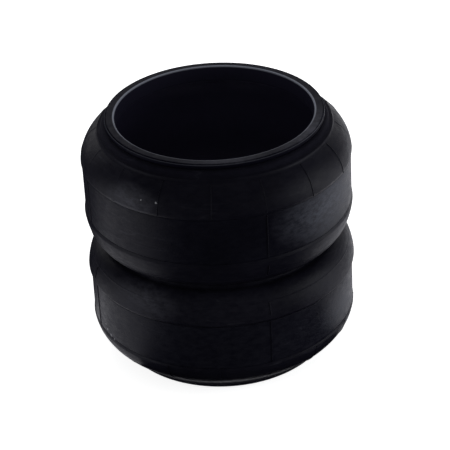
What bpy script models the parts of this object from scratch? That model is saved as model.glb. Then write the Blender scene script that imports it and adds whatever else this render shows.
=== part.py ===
"""Air bellows actuator: a bare rubber bellows with two convolutions, standing on its lower bead.

Every piece is turned round the Z axis. Metres, +Z up, origin at the centre of the lower bead's face.
From inside to outside the wall is an airtight liner, two crossed cord plies and a moulded cover.
At each end the wall is hooked round a steel wire core in a bead, and at the waist a steel hoop
keeps the two convolutions apart. A section is drawn as (radius, distance from the waist) and is
mirrored for the lower half.
"""

import math

import bmesh
import bpy

# Heights
FREE_HEIGHT = 0.265
UPPER_SHOULDER_HEIGHT = 0.047  # from the upper belt's mould line to the bead's face
LOWER_SHOULDER_HEIGHT = 0.044
BELT_OFFSET = 0.037  # from the waist to the near edge of each belt
TILT_DEPTH = 0.030  # pivot of the upper bead's tilt below its face, inside the upper shoulder

# Wall layers, outside to inside, and the gap that bonded layers keep
FIT_GAP = 0.0003
COVER_WALL = 0.0017
PLY_WALL = 0.0010
LINER_WALL = 0.0012

# Beads
BEAD_BORE_R = 0.1012
LIP_ROUND = 0.0010
LAND_WIDTH = 0.0053
WRAP_WALL = 0.0012
WRAP_FACE_WALL = 0.0018
CORE_R = 0.0032
EDGE_FLASH = 0.0010  # how far the moulding edge stands out from the bead's side
EDGE_DEPTH = 0.0040
SIDE_DEPTH = 0.0056  # where the wrap's outer leg ends
FACE_CHAMFER = 0.0009
TOE_ROUND = 0.0009

# Neck of the shoulder cover: a rounded ridge outside the bead, and beyond it the mould flash
# where the shoulder begins
NECK_RISE = 0.0004
RIDGE_OUT = 0.0046
RIDGE_DEPTH = 0.0092
RIDGE_ROUND = 0.0020
NECK_DIP_OUT = 0.0008
NECK_DIP_DEPTH = 0.0114
NECK_FLASH_OUT = 0.0041
NECK_FLASH_DEPTH = 0.0124
SHOULDER_TOP_OUT = 0.0056

# Outer shape of a convolution
BULGE_DEPTH = 0.0366  # from the bead's bore out to the belts
BELT_EDGE = 0.0004  # chamfer along the belt's mould lines
BULGE_OUT = {"upper shoulder": 0.0012, "upper flank": 0.0015, "lower flank": 0.0026, "lower shoulder": 0.0012}
SHOULDER_REACH = 0.0077  # from the bore in to the centre of the shoulder's curve
SHOULDER_OVERLAP = 0.002  # the shoulder's curve starts this far inside the belt
NECK_DEPTH = 0.0070  # from the bead's face to where the shoulder's curve would turn level
FLANK_OVERLAP = 0.004

# Waist: girdle hoop, and the groove over it
FOLD_DEPTH = 0.0273  # from the belts in to the centre of the plies' turn round the hoop
HOOP_BAR_R = 0.0040
HOOP_SIDE = 0.0020  # from the bar's side to the plies above and below it
HOOP_COVER = 0.0027  # rubber between the bar and the groove's floor
FLANK_STEP = 0.0011  # from the centre of the groove's round to the start of the flank's curve

# Facets
TURN_STEPS = 28
CORE_SIDES = 8
SHOULDER_PLY_POINTS = 4
FLANK_PLY_POINTS = 3
TURN_POINTS = 5
SHOULDER_POINTS = 4
FLANK_POINTS = 6
GROOVE_POINTS = 5

BELT_FAR = (FREE_HEIGHT - UPPER_SHOULDER_HEIGHT - LOWER_SHOULDER_HEIGHT) / 2
BELT_HEIGHT = BELT_FAR - BELT_OFFSET
WAIST_Z = LOWER_SHOULDER_HEIGHT + BELT_FAR
BEAD_DISTANCE = {"upper": FREE_HEIGHT - WAIST_Z, "lower": WAIST_Z}
SIGN = {"upper": 1, "lower": -1}

CORE_CENTRE_R = BEAD_BORE_R + WRAP_WALL + FIT_GAP + CORE_R
CORE_DEPTH = WRAP_FACE_WALL + FIT_GAP + CORE_R
CHANNEL_R = CORE_CENTRE_R + CORE_R + FIT_GAP
PLY_SEAT_R = CHANNEL_R + WRAP_WALL / 2
WRAP_SIDE_R = CHANNEL_R + WRAP_WALL
RIDGE_R = WRAP_SIDE_R + RIDGE_OUT

BELT_R = BEAD_BORE_R + BULGE_DEPTH
CARCASS_R = BELT_R - COVER_WALL - FIT_GAP
SHOULDER_CENTRE_R = BEAD_BORE_R - SHOULDER_REACH
SHOULDER_CENTRE_D = BELT_FAR - SHOULDER_OVERLAP
TURN_R = BELT_R - FOLD_DEPTH
TURN_RADIUS = HOOP_BAR_R + HOOP_SIDE
HOOP_CENTRE_R = TURN_R - TURN_RADIUS + FIT_GAP + HOOP_BAR_R
GROOVE_HALF = TURN_RADIUS - COVER_WALL - FIT_GAP
GROOVE_CENTRE_R = HOOP_CENTRE_R + HOOP_BAR_R + HOOP_COVER + GROOVE_HALF
FLANK_CENTRE_R = GROOVE_CENTRE_R + FLANK_STEP
FLANK_CENTRE_D = BELT_OFFSET + FLANK_OVERLAP

# Places in the carcass line, counted from either end
SEAT_OUTER = 1
BELT_SEAM = SHOULDER_PLY_POINTS
FLANK_SEAM = BELT_SEAM + 1
WAIST_SEAM = BELT_SEAM + FLANK_PLY_POINTS
TURN_START = WAIST_SEAM + 1


def material(name, colour, roughness, metallic=0.0):
    made = bpy.data.materials.new(name)
    made.use_nodes = True
    shader = made.node_tree.nodes["Principled BSDF"]
    shader.inputs["Base Color"].default_value = (*colour, 1.0)
    shader.inputs["Roughness"].default_value = roughness
    shader.inputs["Metallic"].default_value = metallic
    return made


def ellipse_point(centre_r, centre_d, half_r, half_d, angle):
    return (centre_r + half_r * math.cos(angle), centre_d + half_d * math.sin(angle))


def between(first, last, count):
    """Evenly spaced values from first to last, both included."""
    return [first + (last - first) * step / (count - 1) for step in range(count)]


def shoulder_arc(side, start_r, wall, apex_r, count):
    """The shoulder's quarter ellipse from start_r near the bead to the belt, at wall below the outside."""
    half_r = apex_r - SHOULDER_CENTRE_R
    half_d = BEAD_DISTANCE[side] - NECK_DEPTH - SHOULDER_CENTRE_D - wall
    first = math.acos((start_r - SHOULDER_CENTRE_R) / half_r)
    last = math.asin(SHOULDER_OVERLAP / half_d)
    return [
        ellipse_point(SHOULDER_CENTRE_R, SHOULDER_CENTRE_D, half_r, half_d, angle)
        for angle in between(first, last, count)
    ]


def flank_arc(wall, apex_r, count):
    """The flank's quarter ellipse from the belt to the waist groove, at wall below the outside."""
    half_r = apex_r - FLANK_CENTRE_R
    half_d = FLANK_CENTRE_D - GROOVE_HALF - wall
    first = -math.asin(FLANK_OVERLAP / half_d)
    return [
        ellipse_point(FLANK_CENTRE_R, FLANK_CENTRE_D, half_r, half_d, angle)
        for angle in between(first, -math.pi / 2, count)
    ]


def carcass_half(side):
    """Outer face of the plies from the bead to where they leave the flank."""
    wall = COVER_WALL + FIT_GAP
    shoulder = shoulder_arc(side, PLY_SEAT_R, wall, CARCASS_R, SHOULDER_PLY_POINTS)
    seat_end = (BEAD_BORE_R + WRAP_WALL + FIT_GAP, shoulder[0][1])
    return [seat_end, *shoulder, *flank_arc(wall, CARCASS_R, FLANK_PLY_POINTS)]


def placed(side, points):
    """World (radius, z) of points drawn as (radius, distance from the waist)."""
    return [(r, WAIST_Z + SIGN[side] * d) for r, d in points]


def carcass_line():
    """The whole outer face of the plies, upper bead to lower bead."""
    turn = [
        (TURN_R + TURN_RADIUS * math.cos(angle), WAIST_Z + TURN_RADIUS * math.sin(angle))
        for angle in between(math.pi / 2, 3 * math.pi / 2, TURN_POINTS)
    ]
    return placed("upper", carcass_half("upper")) + turn + placed("lower", carcass_half("lower"))[::-1]


def offset_line(line, distance):
    """The line moved square to itself, outwards where distance is positive, with mitred corners."""
    moved = []
    for here, point in enumerate(line):
        normals = []
        for a, b in ((here - 1, here), (here, here + 1)):
            if a < 0 or b >= len(line):
                continue
            run, rise = line[b][0] - line[a][0], line[b][1] - line[a][1]
            length = math.hypot(run, rise)
            normals.append((-rise / length, run / length))
        across = [sum(part) for part in zip(*normals)]
        scale = distance * len(normals) / (across[0] ** 2 + across[1] ** 2)
        moved.append((point[0] + across[0] * scale, point[1] + across[1] * scale))
    return moved


def layer_section(line, outer, inner):
    """A closed section between two depths below the carcass line."""
    return offset_line(line, -outer) + offset_line(line, -inner)[::-1]


def half_of(line, side, first, last):
    """Part of a line drawn along the whole wall, read from the bead towards the waist."""
    return (line if side == "upper" else line[::-1])[first : last + 1]


def turned(name, section, finish, body):
    """A ring with this closed (radius, z) section, turned round Z with its origin at its body's."""
    area = sum(a[0] * b[1] - b[0] * a[1] for a, b in zip(section, section[1:] + section[:1]))
    if area > 0:
        section = section[::-1]
    mesh = bpy.data.meshes.new(name)
    drawing = bmesh.new()
    corners = [drawing.verts.new((r, 0.0, z - BODY_Z[body])) for r, z in section]
    for here, corner in enumerate(corners):
        drawing.edges.new((corner, corners[(here + 1) % len(corners)]))
    drawing.to_mesh(mesh)
    drawing.free()
    mesh.materials.append(finish)
    piece = bpy.data.objects.new(name, mesh)
    parts.objects.link(piece)
    piece.parent = bodies[body]
    screw = piece.modifiers.new("turn", "SCREW")
    screw.angle = math.tau
    screw.steps = TURN_STEPS
    screw.render_steps = TURN_STEPS
    screw.use_merge_vertices = True
    screw.merge_threshold = 0.00001
    screw.use_smooth_shade = True
    return piece


def ring_corners(centre, radius, first=0, count=CORE_SIDES):
    """Corners of a core's or bar's polygon round a (radius, height) centre, counted from first."""
    step = math.tau / CORE_SIDES
    return [
        ellipse_point(*centre, radius, radius, step * (first + corner))
        for corner in range(count)
    ]


def bead_point(side, radius, depth):
    """World (radius, z) of a point at this depth below the bead's face."""
    return (radius, WAIST_Z + SIGN[side] * (BEAD_DISTANCE[side] - depth))


def around(radius):
    """Corner distance of the polygon that keeps the fit gap round a core or bar of this radius."""
    return radius + FIT_GAP / math.cos(math.pi / CORE_SIDES)


def make_bead(side):
    """The wire core, its filler and the wrap that closes round them and shows as the bead."""
    body = f"{side}_bead"
    core_centre = bead_point(side, CORE_CENTRE_R, CORE_DEPTH)
    turned(f"{body}_core", ring_corners(core_centre, CORE_R), STEEL, body)

    bore_wall_r = BEAD_BORE_R + WRAP_WALL
    seat_depth = BEAD_DISTANCE[side] - carcass_half(side)[SEAT_OUTER][1]
    toe_depth = seat_depth + 2 * (PLY_WALL + FIT_GAP) + LINER_WALL + TOE_ROUND
    wrap = [
        (CHANNEL_R, SIDE_DEPTH),
        (WRAP_SIDE_R, SIDE_DEPTH),
        (WRAP_SIDE_R + EDGE_FLASH, EDGE_DEPTH),
        (BEAD_BORE_R + LIP_ROUND + LAND_WIDTH + 2 * FACE_CHAMFER, FACE_CHAMFER),
        (BEAD_BORE_R + LIP_ROUND + LAND_WIDTH, 0.0),
        (BEAD_BORE_R + LIP_ROUND, 0.0),
        (BEAD_BORE_R, LIP_ROUND),
        (BEAD_BORE_R, toe_depth - TOE_ROUND),
        (BEAD_BORE_R + WRAP_WALL / 2, toe_depth),
        (bore_wall_r, toe_depth),
        (bore_wall_r, WRAP_FACE_WALL),
        (CHANNEL_R, WRAP_FACE_WALL),
    ]
    turned(f"{body}_wrap", [bead_point(side, *corner) for corner in wrap], RUBBER, body)

    round_core = ring_corners((CORE_CENTRE_R, CORE_DEPTH), around(CORE_R))
    under_core = [corner for corner in round_core if corner[1] > CORE_DEPTH + FIT_GAP]
    last_r, last_depth = under_core[-1]
    side_r = CORE_CENTRE_R - around(CORE_R)
    seat_r = bore_wall_r + FIT_GAP
    reach = (seat_r - side_r) / (last_r - side_r)
    filler = [
        (PLY_SEAT_R - FIT_GAP / 2, SIDE_DEPTH + FIT_GAP),
        *under_core,
        (seat_r, CORE_DEPTH + (last_depth - CORE_DEPTH) * reach),
        (seat_r, seat_depth - FIT_GAP),
        (PLY_SEAT_R - FIT_GAP / 2, seat_depth - FIT_GAP),
    ]
    turned(f"{body}_filler", [bead_point(side, *corner) for corner in filler], FILLER, body)


def make_shoulder_cover(side, on_ply, body):
    """Cover from the bead's side over the neck to the belt's mould line."""
    seam_d = BELT_FAR + FIT_GAP / 2
    inner_r = PLY_SEAT_R + FIT_GAP / 2
    top = SIDE_DEPTH + FIT_GAP
    neck = [
        (inner_r, top),
        (inner_r + 2 * NECK_RISE, top),
        (RIDGE_R - NECK_RISE, RIDGE_DEPTH - RIDGE_ROUND),
        (RIDGE_R, RIDGE_DEPTH),
        (RIDGE_R + NECK_DIP_OUT, NECK_DIP_DEPTH),
        (RIDGE_R + NECK_FLASH_OUT, NECK_FLASH_DEPTH),
    ]
    apex_r = BELT_R + BULGE_OUT[f"{side} shoulder"]
    outside = shoulder_arc(side, RIDGE_R + SHOULDER_TOP_OUT, 0.0, apex_r, SHOULDER_POINTS)
    outside[-1] = (outside[-1][0], seam_d)
    inside = half_of(on_ply, side, SEAT_OUTER, BELT_SEAM)
    inside[0] = (inner_r, inside[0][1])
    inside[-1] = (inside[-1][0], WAIST_Z + SIGN[side] * seam_d)
    section = [bead_point(side, *corner) for corner in neck] + placed(side, outside) + inside[::-1]
    turned(f"{side}_shoulder_cover", section, RUBBER, body)


def make_belt_cover(side, on_ply):
    """The straight belt of the cover between its two mould lines."""
    far, near = BELT_FAR - FIT_GAP / 2, BELT_OFFSET + FIT_GAP / 2
    inner_r = half_of(on_ply, side, BELT_SEAM, BELT_SEAM)[0][0]
    belt = [
        (BELT_R - BELT_EDGE, far),
        (BELT_R, far - 2 * BELT_EDGE),
        (BELT_R, near + 2 * BELT_EDGE),
        (BELT_R - BELT_EDGE, near),
        (inner_r, near),
        (inner_r, far),
    ]
    turned(f"{side}_belt_cover", placed(side, belt), RUBBER, f"{side}_belt")


def make_flank_cover(side, on_ply, body):
    """Cover from the belt's mould line down into the fold."""
    seam_d = BELT_OFFSET - FIT_GAP / 2
    outside = flank_arc(0.0, BELT_R + BULGE_OUT[f"{side} flank"], FLANK_POINTS)
    outside[0] = (outside[0][0], seam_d)
    outside[-1] = (FLANK_CENTRE_R + FIT_GAP / 2, outside[-1][1])
    inside = half_of(on_ply, side, FLANK_SEAM, WAIST_SEAM)
    inside[0] = (inside[0][0], WAIST_Z + SIGN[side] * seam_d)
    inside[-1] = (FLANK_CENTRE_R + FIT_GAP / 2, inside[-1][1])
    turned(f"{side}_flank_cover", placed(side, outside) + inside[::-1], RUBBER, body)


def make_waist(on_ply):
    """The girdle hoop, and the cover that holds it down on the plies and forms the fold's groove."""
    hoop_centre = (HOOP_CENTRE_R, WAIST_Z)
    turned("girdle_hoop", ring_corners(hoop_centre, HOOP_BAR_R), STEEL, "girdle")

    seam_r = FLANK_CENTRE_R - FIT_GAP / 2
    groove = [
        (GROOVE_CENTRE_R - GROOVE_HALF * math.sin(angle), WAIST_Z + GROOVE_HALF * math.cos(angle))
        for angle in between(0.0, math.pi, GROOVE_POINTS)
    ]
    legs = {}
    for side in ("upper", "lower"):
        seam, turn = half_of(on_ply, side, WAIST_SEAM, TURN_START)
        legs[side] = [(seam_r, seam[1]), turn]
    quarter = CORE_SIDES // 4
    over_hoop = ring_corners(hoop_centre, around(HOOP_BAR_R), -quarter, 2 * quarter + 1)
    section = [
        (seam_r, WAIST_Z + GROOVE_HALF),
        *groove,
        (seam_r, WAIST_Z - GROOVE_HALF),
        *legs["lower"],
        *over_hoop,
        *legs["upper"][::-1],
    ]
    turned("waist_cover", section, RUBBER, "girdle")


def make_carcass(line):
    """Two crossed cord plies and the airtight liner, which run unbroken from bead to bead."""
    depth = 0.0
    for name, wall, finish in (
        ("outer_ply", PLY_WALL, CORD),
        ("inner_ply", PLY_WALL, CORD),
        ("inner_liner", LINER_WALL, LINER),
    ):
        turned(name, layer_section(line, depth, depth + wall), finish, "lower_bead")
        depth += wall + FIT_GAP


for old in list(bpy.data.objects):
    bpy.data.objects.remove(old)
parts = bpy.data.collections.new("air_bellows_actuator")
bpy.context.scene.collection.children.link(parts)

RUBBER = material("black moulded rubber", (0.020, 0.021, 0.023), 0.48)
LINER = material("airtight liner rubber", (0.012, 0.012, 0.013), 0.60)
FILLER = material("hard filler rubber", (0.026, 0.025, 0.024), 0.65)
CORD = material("rubbered cord ply", (0.055, 0.048, 0.040), 0.80)
STEEL = material("steel wire", (0.45, 0.44, 0.42), 0.38, 1.0)

# One empty for each body, on the joint's axis, each carried by the body below it
BODY_Z = {
    "lower_bead": 0.0,
    "lower_belt": WAIST_Z - BELT_OFFSET - BELT_HEIGHT / 2,
    "girdle": WAIST_Z,
    "upper_belt": WAIST_Z + BELT_OFFSET + BELT_HEIGHT / 2,
    "upper_bead": FREE_HEIGHT - TILT_DEPTH,
}
bodies = {}
below = None
for body_name, height in BODY_Z.items():
    frame = bpy.data.objects.new(f"{body_name}_frame", None)
    parts.objects.link(frame)
    frame.parent = bodies.get(below)
    frame.location.z = height - BODY_Z.get(below, 0.0)
    bodies[body_name] = frame
    below = body_name

carcass = carcass_line()
cover_inside = offset_line(carcass, FIT_GAP)
make_carcass(carcass)
make_waist(cover_inside)
for end, shoulder_body in (("lower", "lower_bead"), ("upper", "upper_belt")):
    make_bead(end)
    make_shoulder_cover(end, cover_inside, shoulder_body)
    make_belt_cover(end, cover_inside)
    make_flank_cover(end, cover_inside, f"{end}_belt")
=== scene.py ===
import math

import bmesh
import bpy
from mathutils import Matrix, Vector, noise


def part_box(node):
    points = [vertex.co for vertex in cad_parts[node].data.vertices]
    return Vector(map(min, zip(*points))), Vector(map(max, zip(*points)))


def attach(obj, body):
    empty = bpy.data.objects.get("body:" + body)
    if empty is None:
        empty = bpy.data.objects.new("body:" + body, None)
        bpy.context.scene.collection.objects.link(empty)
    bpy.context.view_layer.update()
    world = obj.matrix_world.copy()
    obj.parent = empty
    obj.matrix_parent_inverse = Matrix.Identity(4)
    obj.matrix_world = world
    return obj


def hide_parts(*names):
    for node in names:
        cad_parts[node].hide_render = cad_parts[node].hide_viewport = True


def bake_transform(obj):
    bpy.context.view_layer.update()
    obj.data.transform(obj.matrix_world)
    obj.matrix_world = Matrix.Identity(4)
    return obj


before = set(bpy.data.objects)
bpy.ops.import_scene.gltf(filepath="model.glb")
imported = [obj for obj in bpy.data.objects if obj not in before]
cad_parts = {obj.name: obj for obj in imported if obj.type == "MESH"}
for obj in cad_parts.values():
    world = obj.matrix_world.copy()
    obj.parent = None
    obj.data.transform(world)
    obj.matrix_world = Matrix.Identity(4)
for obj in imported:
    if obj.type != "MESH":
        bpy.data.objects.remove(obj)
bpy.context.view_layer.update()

# The camera looks down on the bellows from the front, held so that the picture leans a little to
# the left, with a long lens that keeps both convolutions nearly the same width.
IMAGE_SIDE = 450
FOCAL_LENGTH_PX = 1839.8
SENSOR_MM = 36.0
CAMERA_ELEVATION = math.radians(31.2)
CAMERA_ROLL = math.radians(2.9)
CAMERA_DISTANCE = 1.9938
AIM_RIGHT = 0.0052
AIM_UP = 0.1109

view_right = Vector((1.0, 0.0, 0.0))
view_up = Vector((0.0, math.sin(CAMERA_ELEVATION), math.cos(CAMERA_ELEVATION)))
view_back = Vector((0.0, -math.cos(CAMERA_ELEVATION), math.sin(CAMERA_ELEVATION)))
rolled_right = view_right * math.cos(CAMERA_ROLL) - view_up * math.sin(CAMERA_ROLL)
rolled_up = view_up * math.cos(CAMERA_ROLL) + view_right * math.sin(CAMERA_ROLL)
camera_place = view_right * AIM_RIGHT + view_up * AIM_UP + view_back * CAMERA_DISTANCE
camera_turn = Matrix((rolled_right, rolled_up, view_back)).transposed()

camera_data = bpy.data.cameras.new("camera")
camera_data.sensor_width = SENSOR_MM
camera_data.lens = FOCAL_LENGTH_PX * SENSOR_MM / IMAGE_SIDE
camera = bpy.data.objects.new("camera", camera_data)
camera.matrix_world = Matrix.Translation(camera_place) @ camera_turn.to_4x4()
bpy.context.scene.collection.objects.link(camera)
bpy.context.scene.camera = camera
bpy.context.scene.view_settings.view_transform = "Standard"

# A plain white floor. To the camera it is as white as the world around it, and the object keeps
# its soft shadow there. In reflections it is a little blue, as the daylight in the photo is.
FLOOR_HALF = 6.0
FLOOR_WHITE = (0.93, 0.93, 0.93, 1.0)
FLOOR_ROUGHNESS = 0.9
FLOOR_GLOW = 0.82
PLAIN_WHITE = (1.0, 1.0, 1.0)
REFLECTED_WHITE = (0.93, 0.92, 1.0)


def new_finish(name):
    """A new material, its node tree and its surface node."""
    made = bpy.data.materials.new(name)
    made.use_nodes = True
    return made, made.node_tree, made.node_tree.nodes["Principled BSDF"]


def worked(tree, operation, *values):
    """The outcome of one sum on values, each a socket or a plain number."""
    working = tree.nodes.new("ShaderNodeMath")
    working.operation = operation
    for socket, value in zip(working.inputs, values):
        if isinstance(value, float):
            socket.default_value = value
        else:
            tree.links.new(value, socket)
    return working.outputs[0]


def mixed(tree, share, first, second):
    """A colour between two colours, each a socket or a plain colour."""
    mix = tree.nodes.new("ShaderNodeMix")
    mix.data_type = "RGBA"
    tree.links.new(share, mix.inputs["Factor"])
    # The mix node's colours are its inputs 6 and 7 and its output 2.
    for socket, colour in ((mix.inputs[6], first), (mix.inputs[7], second)):
        if isinstance(colour, tuple):
            socket.default_value = (*colour, 1.0)
        else:
            tree.links.new(colour, socket)
    return mix.outputs[2]


def seen_ray(tree):
    """1 for a ray from the camera, a mirror or glass, and 0 for the rest."""
    rays = tree.nodes.new("ShaderNodeLightPath").outputs
    seen = worked(tree, "MAXIMUM", rays["Is Camera Ray"], rays["Is Glossy Ray"])
    return worked(tree, "MAXIMUM", seen, rays["Is Transmission Ray"])


def drawn_object(name, drawing):
    """A new object in the scene with the mesh that was drawn."""
    mesh = bpy.data.meshes.new(name)
    drawing.to_mesh(mesh)
    drawing.free()
    made = bpy.data.objects.new(name, mesh)
    bpy.context.scene.collection.objects.link(made)
    return made


floor_finish, floor_tree, floor_shader = new_finish("white floor")
floor_shader.inputs["Base Color"].default_value = FLOOR_WHITE
floor_shader.inputs["Roughness"].default_value = FLOOR_ROUGHNESS
floor_shader.inputs["Specular IOR Level"].default_value = 0.0
mirrored = floor_tree.nodes.new("ShaderNodeLightPath").outputs["Is Glossy Ray"]
floor_white = mixed(floor_tree, mirrored, PLAIN_WHITE, REFLECTED_WHITE)
floor_tree.links.new(floor_white, floor_shader.inputs["Emission Color"])
floor_glow = worked(floor_tree, "MULTIPLY", seen_ray(floor_tree), FLOOR_GLOW)
floor_tree.links.new(floor_glow, floor_shader.inputs["Emission Strength"])

floor_drawing = bmesh.new()
bmesh.ops.create_grid(floor_drawing, x_segments=1, y_segments=1, size=FLOOR_HALF)
floor = drawn_object("floor", floor_drawing)
floor.data.materials.append(floor_finish)

# A black curtain hangs round the object, open at the back, and black cloth lies on the floor in
# front and at the far left, so that the rubber has darkness to reflect there and the pale floor to
# reflect at both sides. Only reflections show either.
CURTAIN_R = 2.4
CURTAIN_HALF_ANGLE = math.radians(132.0)
CURTAIN_TOP_ANGLE = math.radians(80.0)
CURTAIN_TURNS = 33
CURTAIN_RISES = 9
CURTAIN_BLACK = (0.004, 0.004, 0.006, 1.0)
CURTAIN_ROUGHNESS = 0.95
CLOTH_R = 0.120
CLOTH_LIFT = 0.002
FRONT_CLOTH_ANGLES = (math.radians(-50.0), math.radians(74.0))
FAR_CLOTH_ANGLES = (math.radians(-178.0), math.radians(-105.0))

curtain_finish, _, curtain_cloth = new_finish("black curtain")
curtain_cloth.inputs["Base Color"].default_value = CURTAIN_BLACK
curtain_cloth.inputs["Roughness"].default_value = CURTAIN_ROUGHNESS
curtain_cloth.inputs["Specular IOR Level"].default_value = 0.0
curtain_drawing = bmesh.new()


def spaced(first, last, count):
    """Evenly spaced values from first to last, both included."""
    return [first + (last - first) * step / (count - 1) for step in range(count)]


def hang(line, first, last):
    """Cloth along a (distance, height) line, spread from the first angle to the last."""
    turns = spaced(first, last, CURTAIN_TURNS)
    rows = []
    for reach, height in line:
        corners = [(reach * math.sin(turn), -reach * math.cos(turn), height) for turn in turns]
        rows.append([curtain_drawing.verts.new(corner) for corner in corners])
    for row, above in zip(rows, rows[1:]):
        for a, b, c, d in zip(row, row[1:], above[1:], above):
            curtain_drawing.faces.new((a, b, c, d))


wall = [
    (CURTAIN_R * math.cos(rise), CLOTH_LIFT + CURTAIN_R * math.sin(rise))
    for rise in spaced(0.0, CURTAIN_TOP_ANGLE, CURTAIN_RISES)
]
on_floor = [(CLOTH_R, CLOTH_LIFT), (CURTAIN_R, CLOTH_LIFT)]
hang(wall, -CURTAIN_HALF_ANGLE, CURTAIN_HALF_ANGLE)
hang(on_floor, *FRONT_CLOTH_ANGLES)
hang(on_floor, *FAR_CLOTH_ANGLES)
curtain = drawn_object("curtain", curtain_drawing)
curtain.data.materials.append(curtain_finish)
curtain.visible_camera = False
curtain.visible_diffuse = False
curtain.visible_shadow = False

# Soft daylight falls from both sides and from behind, and the room in front of the object is dim.
# The camera and reflections see the world white.
ROOM_LIGHT = 0.30
LAMP_AIM_HEIGHT = 0.13
DAYLIGHT = (0.95, 0.97, 1.0)


def ranged(tree, value, low, high, to_low, to_high):
    """A value mapped from one range to another and held inside it."""
    mapping = tree.nodes.new("ShaderNodeMapRange")
    mapping.inputs["From Min"].default_value = low
    mapping.inputs["From Max"].default_value = high
    mapping.inputs["To Min"].default_value = to_low
    mapping.inputs["To Max"].default_value = to_high
    tree.links.new(value, mapping.inputs["Value"])
    return mapping.outputs["Result"]


world = bpy.data.worlds.new("studio")
bpy.context.scene.world = world
world.use_nodes = True
world_tree = world.node_tree
background = world_tree.nodes["Background"]
background.inputs["Color"].default_value = (*PLAIN_WHITE, 1.0)
room_level = ranged(world_tree, seen_ray(world_tree), 0.0, 1.0, ROOM_LIGHT, 1.0)
world_tree.links.new(room_level, background.inputs["Strength"])


def softbox(name, azimuth, elevation, distance, size, power):
    """A lamp aimed at the middle of the bellows; azimuth runs from the front to the right."""
    light = bpy.data.lights.new(name, "AREA")
    light.shape = "RECTANGLE"
    light.size, light.size_y = size
    light.energy = power
    light.color = DAYLIGHT
    lamp = bpy.data.objects.new(name, light)
    turn, rise = math.radians(azimuth), math.radians(elevation)
    level = math.cos(rise)
    towards = Vector((math.sin(turn) * level, -math.cos(turn) * level, math.sin(rise)))
    lamp.location = towards * distance + Vector((0.0, 0.0, LAMP_AIM_HEIGHT))
    lamp.rotation_euler = towards.to_track_quat("Z", "Y").to_euler()
    bpy.context.scene.collection.objects.link(lamp)


softbox("right window", azimuth=80.0, elevation=10.0, distance=1.5, size=(1.0, 0.8), power=9.0)
softbox("left window", azimuth=-75.0, elevation=8.0, distance=1.6, size=(0.7, 0.6), power=4.6)
softbox("back window", azimuth=180.0, elevation=42.0, distance=1.6, size=(1.5, 0.8), power=9.0)

# The airtight liner: a thin black rubber tube, built first on the forming drum and unbroken from
# bead to bead. Here it is in lengths, one for each way it moves, which meet face to face.
FREE_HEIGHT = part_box("upper_bead_wrap")[1][2]
hoop_low, hoop_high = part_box("girdle_hoop")
WAIST_Z = (hoop_low[2] + hoop_high[2]) / 2
BELT_OFFSET = 0.037
BELT_HEIGHT = 0.050
LAYER_GAP = 0.0003
COVER_WALL = 0.0017
PLY_WALL = 0.0010
LINER_WALL = 0.0012
BELT_R = 0.1378
SHOULDER_CENTRE_R = 0.0935
SHOULDER_OVERLAP = 0.002
NECK_DEPTH = 0.0070
FLANK_CENTRE_R = 0.1206
FLANK_OVERLAP = 0.004
GROOVE_HALF = 0.0040
TURN_R = 0.1105
BEAD_BORE_R = 0.1012
WRAP_WALL = 0.0012
PLY_SEAT_R = 0.1100
TURNING_STEPS = 192

BELT_FAR = BELT_OFFSET + BELT_HEIGHT
CARCASS_R = BELT_R - COVER_WALL - LAYER_GAP
TURN_RADIUS = GROOVE_HALF + COVER_WALL + LAYER_GAP
BEAD_DISTANCE = {"upper": FREE_HEIGHT - WAIST_Z, "lower": WAIST_Z}
SIGN = {"upper": 1.0, "lower": -1.0}


def placed(side, points):
    """World (radius, z) of points drawn as (radius, distance from the waist)."""
    return [(r, WAIST_Z + SIGN[side] * d) for r, d in points]


def arc(centre, halves, first, last, count):
    """Points of an ellipse with these half sizes, from the first angle to the last."""
    return [
        (centre[0] + halves[0] * math.cos(angle), centre[1] + halves[1] * math.sin(angle))
        for angle in spaced(first, last, count)
    ]


def shoulder_arc(side, start_r, wall, apex_r, count):
    """The shoulder's quarter ellipse from start_r near the bead to the belt's mould line."""
    centre_d = BELT_FAR - SHOULDER_OVERLAP
    half_r = apex_r - SHOULDER_CENTRE_R
    half_d = BEAD_DISTANCE[side] - NECK_DEPTH - centre_d - wall
    first = math.acos((start_r - SHOULDER_CENTRE_R) / half_r)
    last = math.asin(SHOULDER_OVERLAP / half_d)
    return arc((SHOULDER_CENTRE_R, centre_d), (half_r, half_d), first, last, count)


def flank_arc(wall, apex_r, count):
    """The flank's quarter ellipse from the belt's mould line down to the waist groove."""
    centre_d = BELT_OFFSET + FLANK_OVERLAP
    half_r = apex_r - FLANK_CENTRE_R
    half_d = centre_d - GROOVE_HALF - wall
    first = -math.asin(FLANK_OVERLAP / half_d)
    return arc((FLANK_CENTRE_R, centre_d), (half_r, half_d), first, -math.pi / 2, count)


SHOULDER_POINTS = 16
BELT_POINTS = 7
FLANK_POINTS = 14
TURN_POINTS = 9


def carcass_half(side):
    """Outer face of the plies from the bead to the waist's middle."""
    wall = COVER_WALL + LAYER_GAP
    shoulder = shoulder_arc(side, PLY_SEAT_R, wall, CARCASS_R, SHOULDER_POINTS)
    flank = flank_arc(wall, CARCASS_R, FLANK_POINTS)
    (start_r, start_d), end_r = shoulder[-1], flank[0][0]
    belt = [
        (start_r + (end_r - start_r) * share, start_d - BELT_HEIGHT * share)
        for share in spaced(0.0, 1.0, BELT_POINTS)[1:-1]
    ]
    turn = arc((TURN_R, 0.0), (TURN_RADIUS, TURN_RADIUS), math.pi / 2, math.pi, TURN_POINTS)
    seat_end = (BEAD_BORE_R + WRAP_WALL + LAYER_GAP, shoulder[0][1])
    return [seat_end, *shoulder, *belt, *flank, *turn]


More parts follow.
